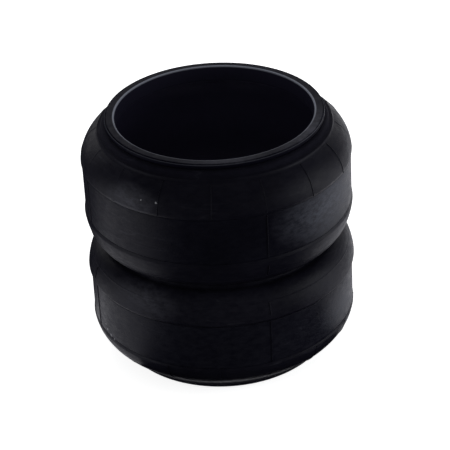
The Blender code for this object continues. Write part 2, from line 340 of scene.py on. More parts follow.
def offset_line(line, distance):
    """The line moved square to itself, outwards where distance is positive, with mitred corners."""
    moved = []
    for here, point in enumerate(line):
        normals = []
        for a, b in ((here - 1, here), (here, here + 1)):
            if a < 0 or b >= len(line):
                continue
            run, rise = line[b][0] - line[a][0], line[b][1] - line[a][1]
            length = math.hypot(run, rise)
            normals.append((-rise / length, run / length))
        across = [sum(part) for part in zip(*normals)]
        scale = distance * len(normals) / (across[0] ** 2 + across[1] ** 2)
        moved.append((point[0] + across[0] * scale, point[1] + across[1] * scale))
    return moved


carcass = placed("upper", carcass_half("upper")) + placed("lower", carcass_half("lower"))[-2::-1]
MIDDLE_AT = len(carcass_half("upper")) - 1
BELT_SEAM_AT = SHOULDER_POINTS
FLANK_SEAM_AT = BELT_SEAM_AT + BELT_POINTS - 1
WAIST_SEAM_AT = FLANK_SEAM_AT + FLANK_POINTS - 1

# Each length of the wall, from the upper bead down to the lower one: its name and its bodies, with
# the heights between which it turns from following the one to following the other.
STILL_WAIST = 0.0062
LOWER_NECK_Z = 0.0125
UPPER_NECK_Z = FREE_HEIGHT - 0.0140
TRAVEL = {
    "upper_shoulder": ("upper_belt", "upper_bead", WAIST_Z + BELT_FAR, UPPER_NECK_Z),
    "upper_belt": ("upper_belt",),
    "upper_flank": ("girdle", "upper_belt", WAIST_Z + STILL_WAIST, WAIST_Z + BELT_OFFSET),
    "lower_flank": ("lower_belt", "girdle", WAIST_Z - BELT_OFFSET, WAIST_Z - STILL_WAIST),
    "lower_belt": ("lower_belt",),
    "lower_shoulder": ("lower_bead", "lower_belt", LOWER_NECK_Z, WAIST_Z - BELT_FAR),
}


def lengths(line):
    """The line cut at the mould lines and at the waist's middle: length name to its points."""
    cuts = [0, BELT_SEAM_AT, FLANK_SEAM_AT, MIDDLE_AT]
    cuts += [2 * MIDDLE_AT - cut for cut in reversed(cuts[:-1])]
    return {name: line[first : last + 1] for name, first, last in zip(TRAVEL, cuts, cuts[1:])}


def follow(piece, length):
    """Attaches a piece to its length's body where the length has only one, and otherwise bakes its
    place into its mesh.
    """
    travel = TRAVEL[length]
    if len(travel) == 1:
        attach(piece, travel[0])
        return
    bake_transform(piece)


def node_group(name, inputs):
    """A geometry node group with these inputs, each a label and its socket's kind."""
    group = bpy.data.node_groups.new(name, "GeometryNodeTree")
    group.interface.new_socket("Geometry", in_out="INPUT", socket_type="NodeSocketGeometry")
    for label, kind in inputs.items():
        group.interface.new_socket(label, in_out="INPUT", socket_type=f"NodeSocket{kind}")
    group.interface.new_socket("Geometry", in_out="OUTPUT", socket_type="NodeSocketGeometry")
    return group


def chain(tree, *steps):
    """Adds nodes in a row, each one's first output linked to the next one's first input."""
    made = [tree.nodes.new(kind) for kind in steps]
    for here, after in zip(made, made[1:]):
        tree.links.new(here.outputs[0], after.inputs[0])
    return made


ring_inputs = {"Steps": "Int", "Drawing Radius": "Float", "Finish": "Material"}
turning = node_group("turned_ring", ring_inputs)
ring_in, ring_section = chain(turning, "NodeGroupInput", "GeometryNodeMeshToCurve")
ring_path, ring_sweep, _, ring_paint, _ = chain(
    turning,
    "GeometryNodeCurvePrimitiveCircle",
    "GeometryNodeCurveToMesh",
    "GeometryNodeRealizeInstances",
    "GeometryNodeSetMaterial",
    "NodeGroupOutput",
)
turning.links.new(ring_in.outputs["Steps"], ring_path.inputs["Resolution"])
turning.links.new(ring_in.outputs["Drawing Radius"], ring_path.inputs["Radius"])
turning.links.new(ring_section.outputs["Curve"], ring_sweep.inputs["Profile Curve"])
turning.links.new(ring_in.outputs["Finish"], ring_paint.inputs["Material"])

# The rubber takes up a slight unevenness from its mould and from being stored, the same at any one
# place in every layer, so that the layers stay together.
UNEVEN_HEIGHT = 0.00035
UNEVEN_SCALE = 17.0
SHARP_ANGLE = math.radians(35.0)


def settle(mesh):
    """Moves each point in or out a little, by a smooth noise of its place."""
    for vertex in mesh.vertices:
        out = Vector((vertex.co.x, vertex.co.y, 0.0)).normalized()
        vertex.co += out * noise.noise(vertex.co * UNEVEN_SCALE) * UNEVEN_HEIGHT


def shaped(name, drawing, group, values):
    """The mesh object with outward faces that a node group makes of a drawing."""
    drawn = drawn_object(name + "_drawing", drawing)
    modifier = drawn.modifiers.new("shape", "NODES")
    modifier.node_group = group
    for item in group.interface.items_tree:
        if item.name in values:
            modifier[item.identifier] = values[item.name]
    bpy.context.view_layer.update()
    evaluated = drawn.evaluated_get(bpy.context.evaluated_depsgraph_get())
    mesh = bpy.data.meshes.new_from_object(evaluated)
    drawn.modifiers.remove(modifier)
    bpy.data.objects.remove(drawn)
    outward = bmesh.new()
    outward.from_mesh(mesh)
    bmesh.ops.recalc_face_normals(outward, faces=outward.faces)
    piece = drawn_object(name, outward)
    for finish in mesh.materials:
        piece.data.materials.append(finish)
    bpy.data.meshes.remove(mesh)
    return piece


def turned(name, section, finish, nodes, uneven=True):
    """A ring turned from a closed (radius, z) section, which stands for the CAD nodes named."""
    drawing = bmesh.new()
    corners = [drawing.verts.new((r - BELT_R, -z, 0.0)) for r, z in section]
    for here, corner in enumerate(corners):
        drawing.edges.new((corner, corners[(here + 1) % len(corners)]))
    values = {"Steps": TURNING_STEPS, "Drawing Radius": BELT_R, "Finish": finish}
    piece = shaped(name, drawing, turning, values)
    if uneven:
        settle(piece.data)
    piece.data.shade_smooth()
    piece.data.set_sharp_from_angle(angle=SHARP_ANGLE)
    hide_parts(*nodes)
    return piece


def layer_pieces(layer, outer, inner, finish, slot, node):
    """The lengths of one layer of the wall, between two depths below the carcass line."""
    outside, inside = lengths(offset_line(carcass, -outer)), lengths(offset_line(carcass, -inner))
    for length in TRAVEL:
        section = outside[length] + inside[length][::-1]
        piece = turned(f"{layer}_{length}", section, finish, [node])
        follow(piece, length)


LINER_BLACK = (0.0200, 0.0180, 0.0390)
LINER_GREY = (0.0310, 0.0285, 0.0550)
LINER_CLOUD_SCALE = 22.0
LINER_GRAIN_SCALE = 700.0
LINER_GRAIN_DEPTH = 0.0002
LINER_ROUGHNESS = (0.55, 0.70)
LINER_SHINE = 0.10
NOISE_SPAN = (0.3, 0.7)


def object_place(tree):
    """The place on the object, in its own coordinates."""
    return tree.nodes.new("ShaderNodeTexCoord").outputs["Object"]


def noise_of(tree, place, scale, detail=3.0, roughness=0.55):
    """A soft noise read at the place."""
    texture = tree.nodes.new("ShaderNodeTexNoise")
    texture.inputs["Scale"].default_value = scale
    texture.inputs["Detail"].default_value = detail
    texture.inputs["Roughness"].default_value = roughness
    tree.links.new(place, texture.inputs["Vector"])
    return texture.outputs["Fac"]


def bumped(tree, height, distance, strength=1.0, normal=None):
    """A surface that follows the height, laid over another one where that is given."""
    bump = tree.nodes.new("ShaderNodeBump")
    bump.inputs["Distance"].default_value = distance
    bump.inputs["Strength"].default_value = strength
    tree.links.new(height, bump.inputs["Height"])
    if normal:
        tree.links.new(normal, bump.inputs["Normal"])
    return bump.outputs["Normal"]


def clouded_finish(name, dark, pale, roughness, scale, detail=3.0):
    """A material that drifts between two colours and two roughnesses by one noise.

    Gives the material, its tree, its surface node and the noise."""
    made, tree, shader = new_finish(name)
    cloud = noise_of(tree, object_place(tree), scale, detail)
    tree.links.new(mixed(tree, cloud, dark, pale), shader.inputs["Base Color"])
    if isinstance(roughness, tuple):
        rough = ranged(tree, cloud, *NOISE_SPAN, *roughness)
        tree.links.new(rough, shader.inputs["Roughness"])
    else:
        shader.inputs["Roughness"].default_value = roughness
    return made, tree, shader, cloud


liner_finish, liner_tree, liner_shader, _ = clouded_finish(
    "airtight liner", LINER_BLACK, LINER_GREY, LINER_ROUGHNESS, LINER_CLOUD_SCALE
)
liner_grain = noise_of(liner_tree, object_place(liner_tree), LINER_GRAIN_SCALE)
liner_bump = bumped(liner_tree, liner_grain, LINER_GRAIN_DEPTH)
liner_tree.links.new(liner_bump, liner_shader.inputs["Normal"])
liner_shader.inputs["Specular IOR Level"].default_value = LINER_SHINE

liner_depth = 2 * (PLY_WALL + LAYER_GAP)
liner_depths = (liner_depth, liner_depth + LINER_WALL)
layer_pieces("liner", *liner_depths, liner_finish, "liner_rubber", "inner_liner")

# Two plies of rubbered cord, laid with their cords crossed, carry the pressure. They lie hidden
# between the liner and the cover and hook round the wire in each bead.
CORD_PITCH = 0.0013
CORD_LEAN = 0.9
CORD_DEPTH = 0.0003
CORD_ROUGHNESS = 0.8
CORD_SHADE = (0.012, 0.010, 0.009)
CORD_BROWN = (0.060, 0.050, 0.040)


def place_parts(tree):
    """The place on the object as separate X, Y and Z."""
    parted = tree.nodes.new("ShaderNodeSeparateXYZ")
    tree.links.new(object_place(tree), parted.inputs[0])
    return parted.outputs


def cord_finish(name, lean):
    """Dark brown rubber over parallel cords, which climb as they go round the axis."""
    made, tree, shader = new_finish(name)
    parts = place_parts(tree)
    around = worked(tree, "ARCTAN2", parts["Y"], parts["X"])
    along = worked(tree, "MULTIPLY_ADD", around, lean * BELT_R, parts["Z"])
    cords = worked(tree, "SINE", worked(tree, "MULTIPLY", along, math.tau / CORD_PITCH))
    lit = ranged(tree, cords, -1.0, 1.0, 0.0, 1.0)
    tree.links.new(mixed(tree, lit, CORD_SHADE, CORD_BROWN), shader.inputs["Base Color"])
    tree.links.new(bumped(tree, lit, CORD_DEPTH), shader.inputs["Normal"])
    shader.inputs["Roughness"].default_value = CORD_ROUGHNESS
    return made


inner_cords = cord_finish("inner cords", CORD_LEAN)
outer_cords = cord_finish("outer cords", -CORD_LEAN)
inner_depths = (PLY_WALL + LAYER_GAP, 2 * PLY_WALL + LAYER_GAP)
layer_pieces("inner_ply", *inner_depths, inner_cords, "cord_ply", "inner_ply")
layer_pieces("outer_ply", 0.0, PLY_WALL, outer_cords, "cord_ply", "outer_ply")

# The bead cores: bundles of coppered steel wire wound side by side into a ring, which keep the
# beads from stretching over the clamp rings. The wires are laid as a round bundle.
CORE_R = 0.0032
WRAP_FACE_WALL = 0.0018
CORE_WIRE_R = 0.00063
CORE_CENTRE_R = BEAD_BORE_R + WRAP_WALL + LAYER_GAP + CORE_R
CORE_DEPTH = WRAP_FACE_WALL + LAYER_GAP + CORE_R
BUNDLE_ROWS = 2
WIRE_DRAWN_SHARE = 0.97
WIRE_STEPS = 96
WIRE_SIDES = 8
WIRE_BROWN = (0.30, 0.20, 0.13)
WIRE_COPPER = (0.46, 0.37, 0.28)
WIRE_SPOT_SCALE = 260.0
WIRE_ROUGHNESS = (0.28, 0.45)

wire_finish, _, wire_shader, _ = clouded_finish(
    "coppered bead wire", WIRE_BROWN, WIRE_COPPER, WIRE_ROUGHNESS, WIRE_SPOT_SCALE
)
wire_shader.inputs["Metallic"].default_value = 1.0

winding = node_group("wire_bundle", {"Wire Radius": "Float", "Steps": "Int", "Finish": "Material"})
wind_in, wind_points, wind_instances, _, wind_sweep, wind_paint, _ = chain(
    winding,
    "NodeGroupInput",
    "GeometryNodeMeshToPoints",
    "GeometryNodeInstanceOnPoints",
    "GeometryNodeRealizeInstances",
    "GeometryNodeCurveToMesh",
    "GeometryNodeSetMaterial",
    "NodeGroupOutput",
)
wind_ring = winding.nodes.new("GeometryNodeCurvePrimitiveCircle")
wind_ring.inputs["Radius"].default_value = 1.0
wind_round = winding.nodes.new("GeometryNodeCurvePrimitiveCircle")
wind_round.inputs["Resolution"].default_value = WIRE_SIDES
_, wind_parted = chain(winding, "GeometryNodeInputPosition", "ShaderNodeSeparateXYZ")
wind_centre = winding.nodes.new("ShaderNodeCombineXYZ")
wind_size = winding.nodes.new("ShaderNodeCombineXYZ")
wind_lift = winding.nodes.new("GeometryNodeSetPosition")
wind_size.inputs["Z"].default_value = 1.0
winding.links.new(wind_parted.outputs["Z"], wind_centre.inputs["Z"])
winding.links.new(wind_in.outputs["Steps"], wind_ring.inputs["Resolution"])
winding.links.new(wind_in.outputs["Wire Radius"], wind_round.inputs["Radius"])
winding.links.new(wind_ring.outputs["Curve"], wind_instances.inputs["Instance"])
winding.links.new(wind_round.outputs["Curve"], wind_sweep.inputs["Profile Curve"])
winding.links.new(wind_in.outputs["Finish"], wind_paint.inputs["Material"])
# Each point gives one wire: its distance from the axis is kept as the ring's size before the point
# itself is moved onto the axis.
wind_keep = winding.nodes.new("GeometryNodeCaptureAttribute")
wind_keep.capture_items.new("FLOAT", "Ring Radius")
winding.links.new(wind_points.outputs[0], wind_keep.inputs["Geometry"])
winding.links.new(wind_parted.outputs["X"], wind_keep.inputs["Ring Radius"])
winding.links.new(wind_keep.outputs["Geometry"], wind_lift.inputs["Geometry"])
winding.links.new(wind_centre.outputs[0], wind_lift.inputs["Position"])
winding.links.new(wind_lift.outputs["Geometry"], wind_instances.inputs["Points"])
winding.links.new(wind_keep.outputs["Ring Radius"], wind_size.inputs["X"])
winding.links.new(wind_keep.outputs["Ring Radius"], wind_size.inputs["Y"])
winding.links.new(wind_size.outputs[0], wind_instances.inputs["Scale"])


def bead_point(side, radius, depth):
    """World (radius, z) of a point at this depth below the bead's face."""
    return (radius, WAIST_Z + SIGN[side] * (BEAD_DISTANCE[side] - depth))


for side in ("lower", "upper"):
    centre_r, centre_z = bead_point(side, CORE_CENTRE_R, CORE_DEPTH)
    pitch = 2 * CORE_WIRE_R
    row_pitch = pitch * math.sin(math.pi / 3)
    bundle = bmesh.new()
    for row in range(-BUNDLE_ROWS, BUNDLE_ROWS + 1):
        wires = 2 * BUNDLE_ROWS + 1 - abs(row)
        for wire in range(wires):
            across = (wire - (wires - 1) / 2) * pitch
            bundle.verts.new((centre_r + across, 0.0, centre_z + row * row_pitch))
    wire_r = CORE_WIRE_R * WIRE_DRAWN_SHARE
    values = {"Wire Radius": wire_r, "Steps": WIRE_STEPS, "Finish": wire_finish}
    core = shaped(f"{side}_bead_core_wires", bundle, winding, values)
    core.data.shade_smooth()
    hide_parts(f"{side}_bead_core")
    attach(core, f"{side}_bead")

# The bead fillers: hard rubber strips between the wire and the plies, which give the bead its
# wedge. They are extruded, and lie hidden in the bead.
FILLER_BLACK = (0.016, 0.015, 0.014)
FILLER_GREY = (0.030, 0.028, 0.026)
FILLER_CLOUD_SCALE = 120.0
FILLER_BUMP_DEPTH = 0.0003
FILLER_ROUGHNESS = 0.7
SIDE_DEPTH = 0.0056
BEZIER_STEPS = 6
ROUNDING_SHARE = 0.48
ARCH_ANGLES = (math.radians(22), math.radians(150))
ARCH_POINTS = 14

filler_finish, filler_tree, filler_shader, filler_cloud = clouded_finish(
    "hard filler rubber", FILLER_BLACK, FILLER_GREY, FILLER_ROUGHNESS, FILLER_CLOUD_SCALE
)
filler_bump = bumped(filler_tree, filler_cloud, FILLER_BUMP_DEPTH)
filler_tree.links.new(filler_bump, filler_shader.inputs["Normal"])


def softened(corners):
    """A line of (radius, depth, rounding) corners, each eased over its rounding length."""
    line = []
    for here, (r, d, rounding) in enumerate(corners):
        if not rounding or here in (0, len(corners) - 1):
            line.append((r, d))
            continue
        corner = Vector((r, d))
        into = Vector(corners[here - 1][:2]) - corner
        out = Vector(corners[here + 1][:2]) - corner
        first = corner + into.normalized() * min(rounding, into.length * ROUNDING_SHARE)
        last = corner + out.normalized() * min(rounding, out.length * ROUNDING_SHARE)
        for share in spaced(0.0, 1.0, BEZIER_STEPS):
            line.append(tuple(first.lerp(corner, share).lerp(corner.lerp(last, share), share)))
    return line


for side in ("lower", "upper"):
    seat_depth = BEAD_DISTANCE[side] - carcass_half(side)[1][1]
    seat_r = BEAD_BORE_R + WRAP_WALL + LAYER_GAP
    arch_r = CORE_R + LAYER_GAP
    arch = arc((CORE_CENTRE_R, CORE_DEPTH), (arch_r, arch_r), *ARCH_ANGLES, ARCH_POINTS)
    wedge = [
        (PLY_SEAT_R - LAYER_GAP / 2, SIDE_DEPTH + LAYER_GAP),
        *arch,
        (seat_r, arch[-1][1]),
        (seat_r, seat_depth - LAYER_GAP),
        (PLY_SEAT_R - LAYER_GAP / 2, seat_depth - LAYER_GAP),
    ]
    section = [bead_point(side, *corner) for corner in wedge]
    node = f"{side}_bead_filler"
    filler = turned(node + "_strip", section, filler_finish, [node], uneven=False)
    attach(filler, f"{side}_bead")

# The cover rubber: weatherproof black compound with a satin skin from the mould, pale patches
# (centre, reach, weight) that are partly a coat of wax and dust on what has been handled and partly
# painted highlights where the side lights fall, and white scuffs (centre, reach).
BELT_DUST_AND_HIGHLIGHT_PLACES = (
    ((0.110, -0.083, 0.200), 0.078, 0.85),
    ((0.124, -0.062, 0.066), 0.058, 0.46),
    ((0.0, 0.0, 0.070), 0.260, 0.10),
)
CURVE_DUST_AND_HIGHLIGHT_PLACES = (
    ((-0.087, -0.106, 0.2265), 0.036, 0.80),
    ((-0.080, -0.110, 0.1125), 0.046, 0.48),
    ((0.118, -0.074, 0.2215), 0.032, 0.06),
    ((0.000, -0.127, 0.1150), 0.090, 0.06),
    ((0.104, -0.094, 0.1030), 0.040, 0.20),
    ((0.120, -0.072, 0.1590), 0.036, 0.30),
)
SCUFFS = (
    ((-0.0600, -0.1214, 0.2318), 0.0015),
    ((-0.0746, -0.1134, 0.2313), 0.0010),
    ((-0.1185, -0.0700, 0.0456), 0.0023),
    ((-0.1225, -0.0640, 0.0490), 0.0016),
    ((-0.1240, -0.0610, 0.0535), 0.0012),
    ((-0.1150, -0.0755, 0.0440), 0.0014),
)
SCUFF_COLOUR = (0.45, 0.45, 0.48)
DUST_AND_HIGHLIGHT_FLATNESS = 1.9
DUST_AND_HIGHLIGHT_CORE = 0.12
BROKEN_SPAN = (0.41, 0.59)
BROKEN_LEAST = 0.32
SCUFF_CORE = 0.4
SCUFF_SPAN = (0.40, 0.55)
SCUFF_MOST = 0.8
# The lower sole's edge is painted a little lighter in the patches' colour, partly as wear and
# partly as a painted highlight.
SOLE_EDGE_Z = 0.0222
SOLE_EDGE_SPAN = (0.0004, 0.0020)
SOLE_EDGE_WEAR_AND_HIGHLIGHT = 0.12
TONE_SPAN = (0.80, 1.20)
GLOSS_DRIFT = 0.26
FLOW_STRETCH = 14.0
FLOW_WIDTH = 0.010
FLOW_SPAN = (0.48, 0.60)
FLOW_SHARE = 0.16
STREAK_STRETCH = 2.2

# Each noise is (scale, detail, roughness), and each relief (depth, strength).
CLOUD_NOISE = (14.0, 4.0)
MOTTLE_NOISE = (110.0, 8.0, 0.72)
GRAIN_NOISE = (1100.0, 2.0)
FLOW_NOISE = (7.0, 2.0, 0.4)
CLOUD_RELIEF = (0.0012, 0.35)
MOTTLE_RELIEF = (0.0006, 0.5)
GRAIN_RELIEF = (0.00012, 0.8)


def stretched(tree, place, upwards):
    """The place with its height multiplied, so that what is read there lies flatter."""
    scaled = tree.nodes.new("ShaderNodeVectorMath")
    scaled.operation = "MULTIPLY"
    scaled.inputs[1].default_value = (1.0, 1.0, upwards)
    tree.links.new(place, scaled.inputs[0])
    return scaled.outputs[0]


def nearness(tree, place, centre, reach, inner, weight, flatness=1.0):
    """weight at the centre, fading to nothing at reach, which is shorter upwards by flatness."""
    apart = tree.nodes.new("ShaderNodeVectorMath")
    apart.operation = "DISTANCE"
    apart.inputs[1].default_value = (centre[0], centre[1], centre[2] * flatness)
    tree.links.new(stretched(tree, place, flatness), apart.inputs[0])
    return ranged(tree, apart.outputs["Value"], reach * inner, reach, weight, 0.0)


def height_off(tree, level):
    """How far up or down a place lies from a level."""
    return worked(tree, "ABSOLUTE", worked(tree, "SUBTRACT", place_parts(tree)["Z"], level))


def cover_finish(name, deep, pale, dust_and_highlight_colour, places, gloss, shine):
    """Black moulded rubber: deep and pale are its own colours, and the third is the colour of its
    pale patches, which are partly dust and partly painted highlight.
    """
    made, tree, shader = new_finish(name)
    place = object_place(tree)
    cloud = noise_of(tree, place, *CLOUD_NOISE)
    mottle = noise_of(tree, stretched(tree, place, STREAK_STRETCH), *MOTTLE_NOISE)
    grain = noise_of(tree, place, *GRAIN_NOISE)
    tone = ranged(tree, worked(tree, "ADD", cloud, mottle), *TONE_SPAN, 0.0, 1.0)
    # Painted highlight: the patches lift the colour towards the third colour, partly as dust and
    # partly as highlights.
    dust_and_highlight_share = None
    for centre, reach, weight in places:
        near = nearness(tree, place, centre, reach, DUST_AND_HIGHLIGHT_CORE, weight, DUST_AND_HIGHLIGHT_FLATNESS)
        dust_and_highlight_share = worked(tree, "MAXIMUM", dust_and_highlight_share, near) if dust_and_highlight_share else near
    cover = ranged(tree, mottle, *BROKEN_SPAN, BROKEN_LEAST, 1.0)
    broken_dust_and_highlight = worked(tree, "MULTIPLY", dust_and_highlight_share, cover)
    flow = noise_of(tree, stretched(tree, place, FLOW_STRETCH), *FLOW_NOISE)
    off_line = worked(tree, "ABSOLUTE", worked(tree, "SUBTRACT", flow, 0.5))
    flow_line = ranged(tree, off_line, 0.0, FLOW_WIDTH, 1.0, 0.0)
    flow_places = ranged(tree, cloud, *FLOW_SPAN, 0.0, FLOW_SHARE)
    marks = worked(tree, "MULTIPLY", flow_line, flow_places)
    dust_highlight_and_flow_marks = worked(tree, "MAXIMUM", broken_dust_and_highlight, marks)
    colour = mixed(tree, dust_highlight_and_flow_marks, mixed(tree, tone, deep, pale), dust_and_highlight_colour)
    for centre, reach in SCUFFS:
        near = nearness(tree, place, centre, reach, SCUFF_CORE, 1.0)
        speckle = ranged(tree, grain, *SCUFF_SPAN, 0.0, SCUFF_MOST)
        colour = mixed(tree, worked(tree, "MULTIPLY", near, speckle), colour, SCUFF_COLOUR)
    # Painted highlight and wear: a lighter band round the sole's edge.
    rubbed_and_lit_edge = ranged(tree, height_off(tree, SOLE_EDGE_Z), *SOLE_EDGE_SPAN, SOLE_EDGE_WEAR_AND_HIGHLIGHT, 0.0)
    tree.links.new(mixed(tree, rubbed_and_lit_edge, colour, dust_and_highlight_colour), shader.inputs["Base Color"])
    rough = ranged(tree, mottle, *NOISE_SPAN, gloss, gloss + GLOSS_DRIFT)
    tree.links.new(rough, shader.inputs["Roughness"])
    relief = bumped(tree, mottle, *MOTTLE_RELIEF, bumped(tree, cloud, *CLOUD_RELIEF))
    tree.links.new(bumped(tree, grain, *GRAIN_RELIEF, relief), shader.inputs["Normal"])
    shader.inputs["Specular IOR Level"].default_value = shine
    return made


DEEP_BLACK = (0.0031, 0.0030, 0.0072)
PALE_BLACK = (0.0055, 0.0053, 0.0110)
SKIN_BLACK = (0.0042, 0.0040, 0.0084)
PALE_SKIN = (0.0070, 0.0067, 0.0125)
# The patches' colours, for dust and painted highlight alike.
GREY_DUST_AND_HIGHLIGHT = (0.058, 0.058, 0.073)
BELT_DUST_AND_HIGHLIGHT = (0.068, 0.073, 0.092)
COVER_GLOSS = 0.34
COVER_SHINE = 0.085
belt_rubber = cover_finish(
    "belt rubber", DEEP_BLACK, PALE_BLACK, BELT_DUST_AND_HIGHLIGHT, BELT_DUST_AND_HIGHLIGHT_PLACES, COVER_GLOSS, COVER_SHINE
)
rubber = cover_finish(
    "moulded cover rubber", SKIN_BLACK, PALE_SKIN, GREY_DUST_AND_HIGHLIGHT, CURVE_DUST_AND_HIGHLIGHT_PLACES, COVER_GLOSS, COVER_SHINE
)

# The neck below each bead is duller than the rest of the cover rubber, because nothing rubs it
# there: its finish is made rougher in a band at that height.
NECK_TOP_DEPTH = 0.0122
NECK_END_DEPTH = 0.0150
NECK_ROUGHNESS = 0.95
HALF_HEIGHT = FREE_HEIGHT / 2

neck_tree = rubber.node_tree
neck_rough = neck_tree.nodes["Principled BSDF"].inputs["Roughness"]
neck_ends = (HALF_HEIGHT - NECK_END_DEPTH, HALF_HEIGHT - NECK_TOP_DEPTH)
off_middle = height_off(neck_tree, HALF_HEIGHT)
dullness = ranged(neck_tree, off_middle, *neck_ends, 0.0, NECK_ROUGHNESS)
duller = worked(neck_tree, "MAXIMUM", neck_rough.links[0].from_socket, dullness)
neck_tree.links.new(duller, neck_rough)

# The bead wraps: strips of cover rubber folded over wire and filler and moulded to the bead's
# shape, with a level land. Round the upper land run a groove and a ridge, and the lower one is
# bevelled. The inner lip carries a painted highlight, weaker at the front than at the sides, the
# ridge a thin pale line that is partly wear and partly painted highlight, and below the face, in
# the groove and down the sides, the colour is painted darker as shade.
LIP_ROUND = 0.0017
LAND_OUTER_R = 0.1097
GROOVE_R = 0.1103
GROOVE_DEPTH = 0.0017
RIDGE_INNER_R = 0.1108
RIDGE_OUTER_R = 0.1114
RIDGE_DEPTH = 0.0008
SOLE_LAND_R = 0.1075
SOLE_BEVEL_R = 0.1094
SOLE_BEVEL_DEPTH = 0.0009
MOULD_EDGE_R = 0.1117
MOULD_EDGE_DEPTH = 0.0038
TOE_ROUND = 0.0009

# The colour of the painted highlight on the inner lip and on the ridge.
LIP_HIGHLIGHT_COLOUR = (0.190, 0.200, 0.240)
BORE_BLACK = (0.0135, 0.0127, 0.0230)
LIP_FRONT_SHARE = 0.30
LIP_FRONT_Y = -0.070
LIP_SMOOTHING = 0.55
LIP_GLOSS = 0.36
LIP_SHINE = 0.015
LIP_SPAN = (BEAD_BORE_R + 0.9 * LIP_ROUND, BEAD_BORE_R + 1.3 * LIP_ROUND)
BORE_SPAN = (BEAD_BORE_R + 0.0001, BEAD_BORE_R + 0.0005)
FACE_SPAN = (HALF_HEIGHT - LIP_ROUND, HALF_HEIGHT - LIP_ROUND / 3)
# How pale the ridge's line is, which is partly wear and partly painted highlight.
RIDGE_WEAR_AND_HIGHLIGHT = 0.20
# Pale patches on the upper land, partly dust and partly a painted highlight where the right light
# falls.
LAND_DUST_AND_HIGHLIGHT_PLACES = (
    ((0.094, -0.050, 0.2650), 0.060, 0.95),
    ((0.010, -0.105, 0.2650), 0.048, 0.60),
)

lip_rubber = cover_finish(
    "moulded bead rubber", DEEP_BLACK, PALE_BLACK, GREY_DUST_AND_HIGHLIGHT, LAND_DUST_AND_HIGHLIGHT_PLACES, LIP_GLOSS, LIP_SHINE
)
lip_tree = lip_rubber.node_tree
lip_shader = lip_tree.nodes["Principled BSDF"]
lip_radius = lip_tree.nodes.new("ShaderNodeVectorMath")
lip_radius.operation = "LENGTH"
lip_flat = stretched(lip_tree, object_place(lip_tree), 0.0)
lip_tree.links.new(lip_flat, lip_radius.inputs[0])
radius_out = lip_radius.outputs["Value"]

on_face = ranged(lip_tree, height_off(lip_tree, HALF_HEIGHT), *FACE_SPAN, 0.0, 1.0)
painted_shade_off_face = worked(lip_tree, "SUBTRACT", 1.0, on_face)
on_lip = ranged(lip_tree, radius_out, *LIP_SPAN, 1.0, 0.0)
in_bore = ranged(lip_tree, radius_out, *BORE_SPAN, 1.0, 0.0)
# A thin pale line on the ridge outside the groove, partly wear and partly painted highlight.
ridge_wear_and_highlight = ranged(lip_tree, radius_out, GROOVE_R, RIDGE_INNER_R, 0.0, RIDGE_WEAR_AND_HIGHLIGHT)
ridge_wear_and_highlight = worked(lip_tree, "MULTIPLY", ridge_wear_and_highlight, on_face)
lip_y = place_parts(lip_tree)["Y"]
highlight_at_sides = ranged(lip_tree, lip_y, LIP_FRONT_Y, 0.0, LIP_FRONT_SHARE, 1.0)
# Painted highlight round the inner lip, on the face only, weaker at the front than at the sides.
lip_highlight = worked(lip_tree, "MULTIPLY", on_face, on_lip)
lip_highlight = worked(lip_tree, "MULTIPLY", lip_highlight, highlight_at_sides)
highlight_and_wear = worked(lip_tree, "MAXIMUM", lip_highlight, ridge_wear_and_highlight)

lip_colour = lip_shader.inputs["Base Color"].links[0].from_socket
# Painted shade: off the face, in the groove and down the wrap's sides, the colour goes to deep
# black.
lip_colour = mixed(lip_tree, painted_shade_off_face, lip_colour, DEEP_BLACK)
lip_colour = mixed(lip_tree, in_bore, lip_colour, BORE_BLACK)
lip_colour = mixed(lip_tree, highlight_and_wear, lip_colour, LIP_HIGHLIGHT_COLOUR)
lip_tree.links.new(lip_colour, lip_shader.inputs["Base Color"])
lip_rough = lip_shader.inputs["Roughness"].links[0].from_socket
smoothing = ranged(lip_tree, lip_highlight, 0.0, 1.0, 1.0, LIP_SMOOTHING)
lip_rough = worked(lip_tree, "MULTIPLY", lip_rough, smoothing)
lip_tree.links.new(lip_rough, lip_shader.inputs["Roughness"])

# The corners outside the land of each bead, from the side inwards: (radius, depth, rounding).
FACE_EDGE = {
    "lower": ((SOLE_BEVEL_R, SOLE_BEVEL_DEPTH, 0.0012), (SOLE_LAND_R, 0.0, 0.0008)),
    "upper": (
        (RIDGE_OUTER_R, RIDGE_DEPTH, 0.0004),
        (RIDGE_INNER_R, RIDGE_DEPTH, 0.0002),
        (GROOVE_R, GROOVE_DEPTH, 0.0002),
        (LAND_OUTER_R, 0.0, 0.0005),
    ),
}

for side in ("lower", "upper"):
    channel_r = CORE_CENTRE_R + CORE_R + LAYER_GAP
    side_r = channel_r + WRAP_WALL
    seat_depth = BEAD_DISTANCE[side] - carcass_half(side)[1][1]
    toe_depth = seat_depth + 2 * (PLY_WALL + LAYER_GAP) + LINER_WALL + TOE_ROUND
    bore_wall_r = BEAD_BORE_R + WRAP_WALL
    outside = softened(
        (
            (channel_r, SIDE_DEPTH, 0.0),
            (side_r, SIDE_DEPTH, 0.0002),
            (MOULD_EDGE_R, MOULD_EDGE_DEPTH, 0.0005),
            *FACE_EDGE[side],
            (BEAD_BORE_R, 0.0, LIP_ROUND),
            (BEAD_BORE_R, toe_depth, TOE_ROUND),
            (bore_wall_r, toe_depth, 0.0),
        )
    )
    inside = [(bore_wall_r, WRAP_FACE_WALL), (channel_r, WRAP_FACE_WALL)]
    section = [bead_point(side, *corner) for corner in outside + inside]
    node = f"{side}_bead_wrap"
    wrap = turned(node + "_strip", section, lip_rubber, [node], uneven=False)
    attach(wrap, f"{side}_bead")

